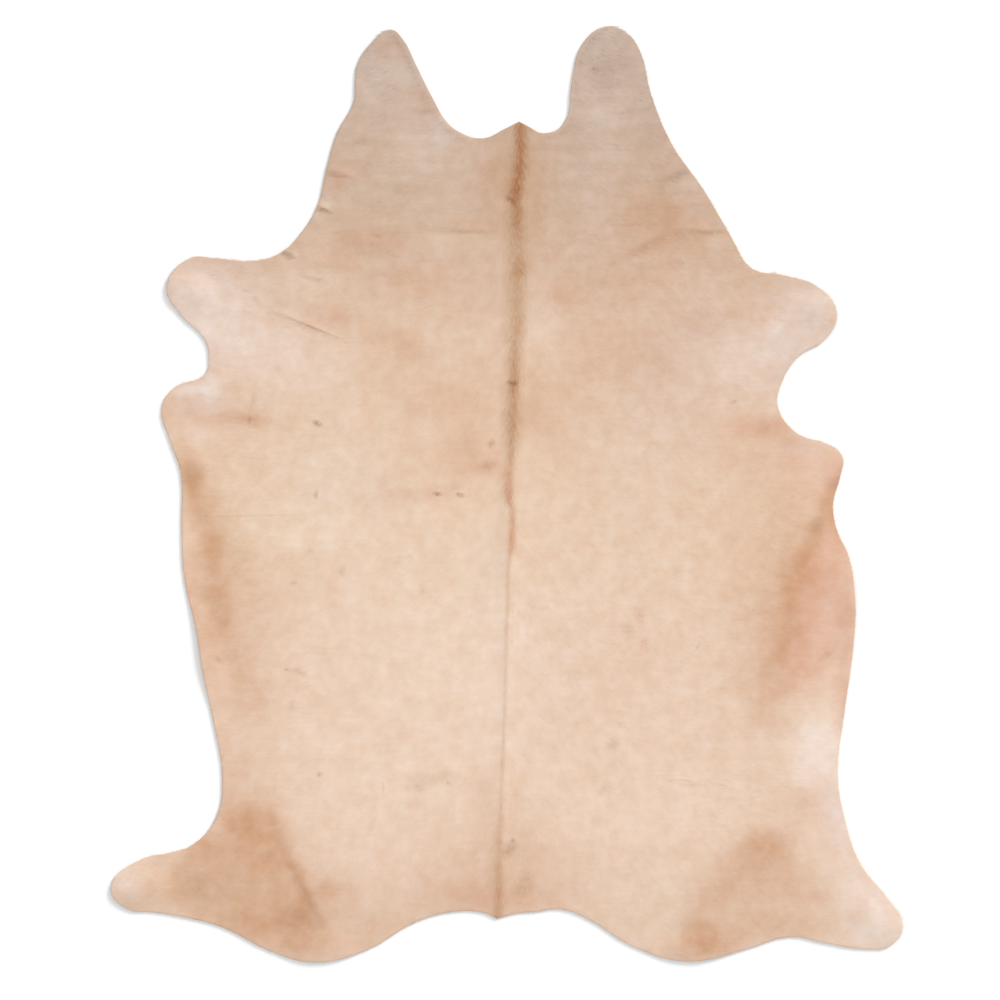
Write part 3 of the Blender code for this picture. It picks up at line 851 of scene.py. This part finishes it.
def layOutUv(sheet, shown, hidden, rimFaces, onTop, shownUp):
    # The shown side fills the picture, and the hidden side lies in its corner
    uv = sheet.loops.layers.uv.new("OFBake")
    size = cadHigh - cadLow
    margin = sheets["uvMargin"]

    def spot(vert):
        across = (vert.co.x - cadLow.x) / size.x * (1 - 2 * margin) + margin
        along = (vert.co.y - cadLow.y) / size.y * (1 - 2 * margin) + margin
        return Vector((across, along))

    for face in shown:
        for loop in face.loops:
            loop[uv].uv = spot(loop.vert)
    for face in hidden:
        for loop in face.loops:
            loop[uv].uv = spot(loop.vert) * sheets["uvHiddenSize"] + Vector(sheets["uvHiddenCorner"])
    for face in rimFaces:
        edge = next(loop for loop in face.loops if loop.vert[onTop] == loop.link_loop_next.vert[onTop])
        along = (edge.link_loop_next.vert.co - edge.vert.co).normalized()
        way = Vector((along.y, -along.x)) * sheets["uvRimWidth"]
        if edge.vert[onTop] > 0.5:
            way.negate()
        for loop in face.loops:
            shownSide = (loop.vert[onTop] > 0.5) == shownUp
            loop[uv].uv = spot(loop.vert) + (Vector((0, 0)) if shownSide else way)


def sheetObject(name, sheet, lowAt, highAt):
    mesh = bpy.data.meshes.new(name)
    bmesh.ops.triangulate(sheet, faces=[face for face in sheet.faces if len(face.verts) > 4])
    sheet.to_mesh(mesh)
    sheet.free()
    where = places(mesh)
    top = np.zeros(len(where), np.float32)
    mesh.attributes["onTop"].data.foreach_get("value", top)
    x, y = where[:, 0], where[:, 1]
    where[:, 2] = np.where(top > 0.5, highAt(x, y), lowAt(x, y))
    mesh.vertices.foreach_set("co", where.ravel().astype(np.float32))
    mesh.attributes.remove(mesh.attributes["onTop"])
    mesh.shade_smooth()
    return showObject(name, mesh)


# Materials

baseTones = (  # the coat's own tone along the hide, from the tail to the neck flaps
    (-960, "#E1C5AE"),
    (-800, "#E8CCB6"),
    (-650, "#E9CEB8"),
    (-450, "#E9CEB8"),
    (-300, "#E9CEB8"),
    (-80, "#E6C9AF"),
    (100, "#E4C6AC"),
    (250, "#DFBFA5"),
    (370, "#DDBEA5"),
    (480, "#D8B9A1"),
    (600, "#D1B39B"),
    (700, "#CEB39C"),
    (880, "#CCB3A0"),
    (1060, "#C8B2A2"),
)
coatColours = {
    "tan": "#C59065",
    "rust": "#C48662",
    "pink": "#DEA88E",
    "pale": "#F6E9E0",
    "cream": "#F4E4CE",
    "brown": "#8A6A50",
    "ash": "#DED0CA",
    "mark": "#8E5E38",
    "rose": "#E8A488",
    "backboneGold": "#B88E60",
    "backboneRust": "#A46A42",
    # the colour of the painted shade along the creases
    "crease": "#8E6A50",
    "baseWander": (250 * mm, 0.16),  # pitch, and how far the base tones shift along the hide, in metres
    "patchBreakUp": (30 * mm, 0.84, 1.16),  # pitch, and between which factors the patches are uneven
    "backboneStreak": (3 * mm, 16 * mm, 1),  # hair that crosses the edges of the dark line,
    "backboneRagged": 1.6,  # and how far, in half widths of the line
    "backboneReach": (("backboneGold", 3.4), ("backboneRust", 2.2)),  # where each tone ends
    "backboneCore": 0.75,  # and where it is full
    "backboneGrain": (2.6 * mm, 16 * mm, 1),  # single dark and light hairs along it
    "grainFactors": (0.62, 1.38),
    "raggedness": (5 * mm, 0.5, 2.3),  # pitch of the ragged edges of small marks, and their factors
    "lockTint": 0.05,  # how much one lock differs from the next
    "streaks": (  # the width and length of streaks along the hair, and how strong they are
        ((1.1 * mm, 15 * mm, 1), 0.05),
        ((6 * mm, 30 * mm, 1), 0.015),
    ),
    "mottles": ((85 * mm, 0.03), (42 * mm, 0.05), (21 * mm, 0.022)),  # pitch and strength
    "wrinkles": ((90 * mm, 8 * mm, 1), 0.015),  # painted shade of faint cross wrinkles: bands across the hide drawn a little lighter and darker
    "mottleShares": (0.55, 1, 1.5),  # for red, green and blue, so that darker hair is warmer too
    "huePitch": 38 * mm,
    "hues": ((0.9, 0.908, 0.92), (0.93, 0.896, 0.88)),  # the coolest and the warmest hair
}


def pattern(tree, place, size, detail=2.0, roughness=0.5):
    # Noise with grains of this width, length and height
    drawn = addNode(tree, "ShaderNodeMapping", {"Vector": place, "Scale": [1 / side for side in size]})
    spots = addNode(
        tree, "ShaderNodeTexNoise",
        {"Vector": drawn.outputs[0], "Scale": 1.0, "Detail": detail, "Roughness": roughness},
    )
    return spots.outputs["Fac"]


def uneven(tree, place, size, least, most, contrast=0.2, **settings):
    # A pattern as a factor between two values
    factor = addNode(
        tree, "ShaderNodeMapRange",
        {
            "Value": pattern(tree, place, size, **settings), "From Min": 0.5 - contrast,
            "From Max": 0.5 + contrast, "To Min": least, "To Max": most,
        },
    )
    return factor.outputs[0]


def alongHair(tree):
    # Places to draw a pattern on that follows the way the hair lies
    place = addNode(tree, "ShaderNodeTexCoord").outputs["Object"]
    across = addNode(tree, "ShaderNodeSeparateXYZ", {0: place}).outputs["X"]
    line = addNode(tree, "ShaderNodeAttribute", attribute_name="hairLine").outputs["Fac"]
    return addNode(tree, "ShaderNodeCombineXYZ", {"X": line, "Y": across}).outputs[0]


def tinted(tree, colour, share, factor, tone):
    # The colour with an uneven share of a tone blended in
    share = addNode(tree, "ShaderNodeMath", {0: share, 1: factor}, operation="MULTIPLY").outputs[0]
    tone = linear(coatColours[tone])
    return addNode(tree, "ShaderNodeMix", {0: share, 6: colour, 7: tone}, data_type="RGBA").outputs[2]


def baseColour(tree, place):
    pitch, reach = coatColours["baseWander"]
    along = addNode(tree, "ShaderNodeSeparateXYZ", {0: place}).outputs["Y"]
    wander = pattern(tree, place, (pitch,) * 3, detail=3.0)
    shift = addNode(tree, "ShaderNodeMath", {0: wander, 1: reach, 2: along}, operation="MULTIPLY_ADD")
    first, last = baseTones[0][0] * mm, baseTones[-1][0] * mm
    share = addNode(
        tree, "ShaderNodeMapRange",
        {"Value": shift.outputs[0], "From Min": first + reach / 2, "From Max": last + reach / 2},
    )
    ramp = addNode(tree, "ShaderNodeValToRGB", {"Fac": share.outputs[0]})
    stops = ramp.color_ramp.elements
    while len(stops) < len(baseTones):
        stops.new(0.5)
    for stop, (at, tone) in zip(stops, baseTones):
        stop.position = (at * mm - first) / (last - first)
        stop.color = linear(tone)
    return ramp.outputs["Color"]


def withPatches(tree, place, colour):
    pitch, least, most = coatColours["patchBreakUp"]
    broken = uneven(tree, place, (pitch,) * 3, least, most, detail=3.0, roughness=0.55)
    for tone in tones:
        share = addNode(tree, "ShaderNodeAttribute", attribute_name=tone + "Share").outputs["Fac"]
        colour = tinted(tree, colour, share, broken, tone)
    return colour


def withBackbone(tree, place, colour):
    # The dark hair over the backbone: a rusty middle and soft golden edges, both uneven
    drawn = addNode(tree, "ShaderNodeAttribute", attribute_name="backboneAside").outputs["Fac"]
    aside = addNode(tree, "ShaderNodeMath", {0: drawn}, operation="ABSOLUTE").outputs[0]
    feathered = pattern(tree, alongHair(tree), coatColours["backboneStreak"])
    ragged = addNode(
        tree, "ShaderNodeMath", {0: feathered, 1: coatColours["backboneRagged"], 2: aside},
        operation="MULTIPLY_ADD",
    )
    grain = uneven(tree, place, coatColours["backboneGrain"], *coatColours["grainFactors"])
    for tone, reach in coatColours["backboneReach"]:
        drawn = addNode(tree, "ShaderNodeAttribute", attribute_name=tone).outputs["Fac"]
        share = addNode(
            tree, "ShaderNodeMapRange",
            {
                "Value": ragged.outputs[0], "From Min": reach, "From Max": coatColours["backboneCore"],
                "To Max": drawn,
            },
            interpolation_type="SMOOTHSTEP",
        )
        colour = tinted(tree, colour, share.outputs[0], grain, tone)
    return colour


def withMarks(tree, place, colour):
    pitch, least, most = coatColours["raggedness"]
    ragged = uneven(tree, place, (pitch,) * 3, least, most)
    for mark in smallMarks:
        oval = addNode(
            tree, "ShaderNodeMapping",
            {
                "Vector": place, "Location": (mark.across * mm, mark.along * mm, 0),
                "Rotation": (0, 0, math.radians(mark.turn)),
                "Scale": (mark.halfWidth * mm, mark.halfLength * mm, 1),
            },
            vector_type="TEXTURE",
        )
        fade = addNode(tree, "ShaderNodeTexGradient", {"Vector": oval.outputs[0]}, gradient_type="SPHERICAL")
        share = addNode(
            tree, "ShaderNodeMath", {0: fade.outputs["Fac"], 1: mark.amount}, operation="MULTIPLY"
        )
        colour = tinted(tree, colour, share.outputs[0], ragged, mark.tone)
    # Painted shade along the creases: the coat is drawn darker towards the crease colour
    paintedShadeShare = addNode(tree, "ShaderNodeAttribute", attribute_name="paintedCreaseShade").outputs["Fac"]
    return tinted(tree, colour, paintedShadeShare, 1.0, "crease")


def withMottling(tree, place, colour):
    # Lighter and darker hair of several sizes, some of it pinker and some yellower, and the painted shade of
    # faint cross wrinkles
    brightness = addNode(tree, "ShaderNodeAttribute", attribute_name="lockTint").outputs["Fac"]
    brightness = addNode(
        tree, "ShaderNodeMath", {0: brightness, 1: coatColours["lockTint"], 2: 1.0}, operation="MULTIPLY_ADD"
    ).outputs[0]
    size, strength = coatColours["wrinkles"]
    factors = [
        *(
            uneven(tree, alongHair(tree), size, 1 - strength, 1 + strength)
            for size, strength in coatColours["streaks"]
        ),
        *(
            uneven(tree, place, (pitch,) * 3, 1 - strength, 1 + strength, contrast=0.25)
            for pitch, strength in coatColours["mottles"]
        ),
        # painted shade of faint cross wrinkles
        uneven(tree, place, size, 1 - strength, 1 + strength),
    ]
    for factor in factors:
        brightness = addNode(
            tree, "ShaderNodeMath", {0: brightness, 1: factor}, operation="MULTIPLY"
        ).outputs[0]
    hue = pattern(tree, place, (coatColours["huePitch"],) * 3)
    cool, warm = coatColours["hues"]
    warmth = addNode(tree, "ShaderNodeMix", {0: hue, 4: cool, 5: warm}, data_type="VECTOR")
    lit = addNode(tree, "ShaderNodeVectorMath", {0: colour, 1: warmth.outputs[1]}, operation="MULTIPLY")
    change = addNode(tree, "ShaderNodeMath", {0: brightness, 1: 1.0}, operation="SUBTRACT").outputs[0]
    shade = addNode(
        tree, "ShaderNodeVectorMath", {0: change, 1: coatColours["mottleShares"], 2: (1, 1, 1)},
        operation="MULTIPLY_ADD",
    )
    return addNode(
        tree, "ShaderNodeVectorMath", {0: lit.outputs[0], 1: shade.outputs[0]}, operation="MULTIPLY"
    ).outputs[0]


def coatColourGroup():
    # The colour of the hair at each place, with the painted shade of creases and wrinkles, shared by the coat
    # and its locks
    tree = bpy.data.node_groups.new("coatColourWithPaintedShade", "ShaderNodeTree")
    tree.interface.new_socket("Color", in_out="OUTPUT", socket_type="NodeSocketColor")
    place = addNode(tree, "ShaderNodeTexCoord").outputs["Object"]
    colour = baseColour(tree, place)
    for addTo in (withPatches, withBackbone, withMarks, withMottling):
        colour = addTo(tree, place, colour)
    addNode(tree, "NodeGroupOutput", {0: colour})
    return tree


def newMaterial(name, roughness, specular):
    material = bpy.data.materials.new(name)
    material.use_nodes = True
    shader = material.node_tree.nodes["Principled BSDF"]
    shader.inputs["Roughness"].default_value = roughness
    shader.inputs["Specular IOR Level"].default_value = specular
    return material, material.node_tree, shader


def hairMaterial(name, roughness, specular, colourGroup):
    material, tree, shader = newMaterial(name, roughness, specular)
    colour = addNode(tree, "ShaderNodeGroup", node_tree=colourGroup)
    tree.links.new(colour.outputs[0], shader.inputs["Base Color"])
    return material, tree, shader


def lockMaterial(colourGroup):
    # Cow hair in small locks, as it grew: pale beige with a soft, faint gloss
    return hairMaterial("shortCowHairLocks", 0.6, 0.28, colourGroup)[0]


def coatMaterial(colourGroup):
    # The dense short coat under the locks: the same hair, lying flat in fine streaks
    material, tree, shader = hairMaterial("denseShortCoat", 0.65, 0.25, colourGroup)
    hair, clumps = (pattern(tree, alongHair(tree), size) for size, strength in coatColours["streaks"])
    gloss = addNode(tree, "ShaderNodeMapRange", {"Value": hair, "To Min": 0.55, "To Max": 0.75})
    tree.links.new(gloss.outputs[0], shader.inputs["Roughness"])
    bump = addNode(
        tree, "ShaderNodeBump", {"Height": clumps, "Strength": 0.5, "Distance": coatLook["clumpRelief"]}
    )
    bump = addNode(
        tree, "ShaderNodeBump",
        {
            "Height": hair, "Strength": 0.5, "Distance": coatLook["strandRelief"],
            "Normal": bump.outputs[0],
        },
    )
    tree.links.new(bump.outputs[0], shader.inputs["Normal"])
    return material


skinLook = {
    "suede": ("#B9A68F", "#D9CBB8"),  # the darker and the lighter patches
    "suedePatch": 160 * mm,
    "nap": 3 * mm,
    "napFactors": (0.88, 1.08),
    "napRelief": 0.5 * mm,
    "cut": ("#B89F83", "#DCCAB0"),
    "fibre": (1 / 90, 1 / 90, 0.8 * mm),  # thin layers along the cut
    "fibreRelief": 0.3 * mm,
}


def twoTones(tree, share, low, high, colours):
    # A ramp from the first colour to the second
    ramp = addNode(tree, "ShaderNodeValToRGB", {"Fac": share})
    for stop, position, colour in zip(ramp.color_ramp.elements, (low, high), colours):
        stop.position = position
        stop.color = linear(colour)
    return ramp.outputs["Color"]


def suedeMaterial():
    # The flesh side of chrome-tanned hide, buffed to a dull, slightly patchy suede
    material, tree, shader = newMaterial("buffedFleshSide", 0.92, 0.2)
    place = addNode(tree, "ShaderNodeTexCoord").outputs["Object"]
    patchy = pattern(tree, place, (skinLook["suedePatch"],) * 3, detail=6.0, roughness=0.62)
    tint = twoTones(tree, patchy, 0.32, 0.7, skinLook["suede"])
    nap = pattern(tree, place, (skinLook["nap"],) * 3, detail=4.0, roughness=0.7)
    least, most = skinLook["napFactors"]
    fuzz = addNode(tree, "ShaderNodeMapRange", {"Value": nap, "To Min": least, "To Max": most})
    shaded = addNode(tree, "ShaderNodeVectorMath", {0: tint, "Scale": fuzz.outputs[0]}, operation="SCALE")
    tree.links.new(shaded.outputs[0], shader.inputs["Base Color"])
    rough = addNode(tree, "ShaderNodeMapRange", {"Value": nap, "To Min": 0.85, "To Max": 0.98})
    tree.links.new(rough.outputs[0], shader.inputs["Roughness"])
    bump = addNode(
        tree, "ShaderNodeBump", {"Height": nap, "Strength": 0.6, "Distance": skinLook["napRelief"]}
    )
    tree.links.new(bump.outputs[0], shader.inputs["Normal"])
    return material


def cutEdgeMaterial():
    # The knife-cut edge of the skin: paler and denser than the suede
    material, tree, shader = newMaterial("cutHideEdge", 0.8, 0.25)
    place = addNode(tree, "ShaderNodeTexCoord").outputs["Object"]
    fibre = pattern(tree, place, skinLook["fibre"], detail=3.0)
    tree.links.new(twoTones(tree, fibre, 0, 1, skinLook["cut"]), shader.inputs["Base Color"])
    bump = addNode(
        tree, "ShaderNodeBump", {"Height": fibre, "Strength": 0.4, "Distance": skinLook["fibreRelief"]}
    )
    tree.links.new(bump.outputs[0], shader.inputs["Normal"])
    return material


# The locks of hair

locks = {
    "perSquareMetre": 110000,
    "spacing": 1.75 * mm,
    "width": 1.1 * mm,
    "height": 0.1 * mm,
    "rise": 0.9,  # how much higher the tip is than the root, as a share of the height
    "turn": 14,  # how far, in degrees, a lock may lie off the coat's way,
    "roll": 0.06,  # how far, in radians, it rolls over,
    "lift": (-0.004, 0.008),  # and how far its tip dips and rises
    "sizes": ((0.75, 0.75, 0.7), (1.2, 1.15, 1.2)),  # the smallest and the largest, as shares
    "normalShare": 0.1,  # how round a lock shades, as against flat like the coat
    "uvMargins": (15 * mm, 20 * mm),  # what a band's picture holds beside the band
}
lockBands = (  # from the tail to the neck flaps, in millimetres along
    ("rumpHair", -1100, -700),
    ("loinHair", -700, -330),
    ("backHair", -330, 30),
    ("shoulderHair", 30, 400),
    ("neckHair", 400, 1100),
)


def oneLock(material):
    # A slender three-sided spike along +Y, edge up: the root is sunk in the coat and the tip lies on it
    lock = bmesh.new()
    bmesh.ops.create_cone(lock, cap_ends=True, segments=3, radius1=0.5, radius2=0, depth=1)
    turned = Euler((math.radians(-90), math.radians(180), 0)).to_matrix()
    bmesh.ops.rotate(lock, verts=lock.verts, matrix=turned)
    bmesh.ops.remove_doubles(lock, verts=lock.verts, dist=1e-4)
    for vert in lock.verts:
        vert.co.y += 0.5
        vert.co.z += locks["rise"] * (vert.co.y - 0.5)
    mesh = bpy.data.meshes.new("lock")
    lock.to_mesh(mesh)
    lock.free()
    mesh.materials.append(material)
    return showObject("lock", mesh)


def lockTree(lock, low, high, seed):
    tree = bpy.data.node_groups.new("locks", "GeometryNodeTree")
    tree.interface.new_socket("Geometry", in_out="INPUT", socket_type="NodeSocketGeometry")
    tree.interface.new_socket("Geometry", in_out="OUTPUT", socket_type="NodeSocketGeometry")
    start = addNode(tree, "NodeGroupInput")
    place = addNode(tree, "GeometryNodeInputPosition")
    along = addNode(tree, "ShaderNodeSeparateXYZ", {0: place.outputs[0]}).outputs["Y"]
    above = addNode(tree, "FunctionNodeCompare", {0: along, 1: low}, operation="GREATER_EQUAL")
    below = addNode(tree, "FunctionNodeCompare", {0: along, 1: high}, operation="LESS_THAN")
    inBand = addNode(
        tree, "FunctionNodeBooleanMath", {0: above.outputs[0], 1: below.outputs[0]}, operation="AND"
    )
    points = addNode(
        tree, "GeometryNodeDistributePointsOnFaces",
        {
            "Mesh": start.outputs[0], "Selection": inBand.outputs[0], "Distance Min": locks["spacing"],
            "Density Max": locks["perSquareMetre"], "Seed": seed,
        },
        distribute_method="POISSON",
    )
    way = addNode(tree, "GeometryNodeInputNamedAttribute", {"Name": "hairWay"}, data_type="FLOAT_VECTOR")
    length = addNode(tree, "GeometryNodeInputNamedAttribute", {"Name": "hairLength"}, data_type="FLOAT")
    upright = addNode(
        tree, "FunctionNodeAlignRotationToVector", {"Vector": points.outputs["Normal"]}, axis="Z"
    )
    laid = addNode(
        tree, "FunctionNodeAlignRotationToVector",
        {"Rotation": upright.outputs[0], "Vector": way.outputs[0]}, axis="Y", pivot_axis="Z",
    )
    turn, roll = math.radians(locks["turn"]), locks["roll"]
    dip, rise = locks["lift"]
    stray = addNode(
        tree, "FunctionNodeRandomValue", {0: (dip, -roll, -turn), 1: (rise, roll, turn), "Seed": seed + 1},
        data_type="FLOAT_VECTOR",
    )
    turned = addNode(
        tree, "FunctionNodeRotateRotation", {"Rotation": laid.outputs[0], "Rotate By": stray.outputs[0]},
        rotation_space="LOCAL",
    )
    smallest, largest = locks["sizes"]
    size = addNode(
        tree, "FunctionNodeRandomValue", {0: smallest, 1: largest, "Seed": seed + 2}, data_type="FLOAT_VECTOR"
    )
    measures = addNode(
        tree, "ShaderNodeCombineXYZ", {"X": locks["width"], "Y": length.outputs[0], "Z": locks["height"]}
    )
    scale = addNode(
        tree, "ShaderNodeVectorMath", {0: measures.outputs[0], 1: size.outputs[0]}, operation="MULTIPLY"
    )
    shape = addNode(tree, "GeometryNodeObjectInfo", {"Object": lock})
    copies = addNode(
        tree, "GeometryNodeInstanceOnPoints",
        {
            "Points": points.outputs["Points"], "Instance": shape.outputs["Geometry"],
            "Rotation": turned.outputs[0], "Scale": scale.outputs[0],
        },
    )
    tint = addNode(tree, "FunctionNodeRandomValue", {2: -1.0, 3: 1.0, "Seed": seed + 3}, data_type="FLOAT")
    tinted = addNode(
        tree, "GeometryNodeStoreNamedAttribute",
        {"Geometry": copies.outputs[0], "Name": "lockTint", "Value": tint.outputs[1]},
        data_type="FLOAT", domain="INSTANCE",
    )
    real = addNode(tree, "GeometryNodeRealizeInstances", {"Geometry": tinted.outputs[0]})
    # Each lock's place in the band's picture
    beside, beyond = locks["uvMargins"]
    middle = (0, (low + high) / 2, 0)
    span = (cadHigh.x - cadLow.x + 2 * beside, high - low + 2 * beyond, 1)
    centred = addNode(tree, "ShaderNodeVectorMath", {0: place.outputs[0], 1: middle}, operation="SUBTRACT")
    shares = addNode(tree, "ShaderNodeVectorMath", {0: centred.outputs[0], 1: span}, operation="DIVIDE")
    spots = addNode(tree, "ShaderNodeVectorMath", {0: shares.outputs[0], 1: (0.5, 0.5, 0)}, operation="ADD")
    mapped = addNode(
        tree, "GeometryNodeStoreNamedAttribute",
        {"Geometry": real.outputs[0], "Name": "OFBake", "Value": spots.outputs[0]},
        data_type="FLOAT2", domain="CORNER",
    )
    addNode(tree, "NodeGroupOutput", {0: mapped.outputs[0]})
    return tree


def growLocks(ground, lock, name, low, high, seed):
    # The locks of one band of the hide as a mesh of their own
    grower = showObject(name, ground.data)
    grown = grower.modifiers.new("locks", "NODES")
    grown.node_group = lockTree(lock, low, high, seed)
    graph = bpy.context.evaluated_depsgraph_get()
    mesh = bpy.data.meshes.new_from_object(grower.evaluated_get(graph), depsgraph=graph)
    mesh.name = name
    grower.modifiers.clear()
    grower.data = mesh
    mesh.shade_smooth()
    normals = np.array([vert.vector for vert in mesh.vertex_normals]) * locks["normalShare"]
    normals[:, 2] += 1
    normals /= np.linalg.norm(normals, axis=1)[:, None]
    mesh.normals_split_custom_set_from_vertices(normals.tolist())
    print(name, "has", len(mesh.polygons) // 4, "locks,", len(mesh.loop_triangles), "triangles")
    return grower


# Building

flat = flatHide(hideCells["coatCell"])
rim = rimPoints(flat)
rimTree = kdtree.KDTree(len(rim))
for number, (point, way) in enumerate(rim):
    rimTree.insert(point, number)
rimTree.balance()


def skinTop(x, y):
    return liftAt(x, y) + unevennessAt(x, y) + sheets["skin"]


def coatLow(x, y):
    return skinTop(x, y) - sheets["overlap"]


def coatTop(x, y):
    fromRim = np.array([rimTree.find(Vector((a, b, 0)))[2] for a, b in zip(x, y)])
    inside = np.clip(fromRim / sheets["coatRim"], 0, 1)
    share = sheets["thinnest"] + (1 - sheets["thinnest"]) * np.sqrt(1 - (1 - inside) ** 2)
    return skinTop(x, y) + sheets["coat"] * share


colourGroup = coatColourGroup()
coat = sheetObject("coat", closedSheet(flat, True), coatLow, coatTop)
writeCoat(coat.data, rimTree, rim)
coat.data.materials.append(coatMaterial(colourGroup))
print("coat made:", len(coat.data.polygons), "faces")

ground = sheetObject("ground", flat, coatTop, coatTop)
writeCoat(ground.data, rimTree, rim)

skin = sheetObject("skin", closedSheet(flatHide(hideCells["skinCell"]), False), liftAt, skinTop)
skin.data.materials.append(suedeMaterial())
skin.data.materials.append(cutEdgeMaterial())
print("skin made:", len(skin.data.polygons), "faces")

lock = oneLock(lockMaterial(colourGroup))
bands = [
    growLocks(ground, lock, name, low * mm, high * mm, 10 * (number + 1))
    for number, (name, low, high) in enumerate(lockBands)
]
bpy.data.objects.remove(ground)
bpy.data.objects.remove(lock)

for piece in (skin, coat, *bands):
    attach(piece, "root")
    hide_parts("hide")


# Studio

studio = {
    "floorColour": "#F4F4F4",
    "fill": 0.82,
    "key": 3.1,
    "keyElevation": 19,
    "keyAzimuth": 45,  # from +X towards +Y: the light falls from the upper right
    "keySoftness": 16,
    "photoWidth": 2.2795,  # metres that the photograph shows
    "photoCentre": (-0.0157, -0.0137),
    "lens": 100,
    "sensor": 36,
    "floorSize": 25,
}


def makeFloor():
    floor = bmesh.new()
    bmesh.ops.create_grid(floor, x_segments=1, y_segments=1, size=studio["floorSize"])
    mesh = bpy.data.meshes.new("floor")
    floor.to_mesh(mesh)
    floor.free()
    material, tree, shader = newMaterial("matteStudioFloor", 0.9, 0.1)
    shader.inputs["Base Color"].default_value = linear(studio["floorColour"])
    mesh.materials.append(material)
    showObject("floor", mesh)


def makeLight():
    world = bpy.data.worlds.new("studio")
    bpy.context.scene.world = world
    world.use_nodes = True
    background = world.node_tree.nodes["Background"]
    background.inputs["Color"].default_value = (1, 1, 1, 1)
    background.inputs["Strength"].default_value = studio["fill"]
    key = bpy.data.lights.new("key", "SUN")
    key.energy = studio["key"]
    key.angle = math.radians(studio["keySoftness"])
    obj = showObject("key", key)
    elevation, azimuth = math.radians(studio["keyElevation"]), math.radians(studio["keyAzimuth"])
    flat = math.cos(elevation)
    towards = Vector((math.cos(azimuth) * flat, math.sin(azimuth) * flat, math.sin(elevation)))
    obj.rotation_euler = towards.to_track_quat("Z", "Y").to_euler()


def makeCamera():
    data = bpy.data.cameras.new("camera")
    data.lens = studio["lens"]
    data.sensor_width = studio["sensor"]
    camera = showObject("camera", data)
    camera.location = (*studio["photoCentre"], studio["photoWidth"] * studio["lens"] / studio["sensor"])
    bpy.context.scene.camera = camera


makeFloor()
makeLight()
makeCamera()
bpy.context.scene.view_settings.view_transform = "Standard"
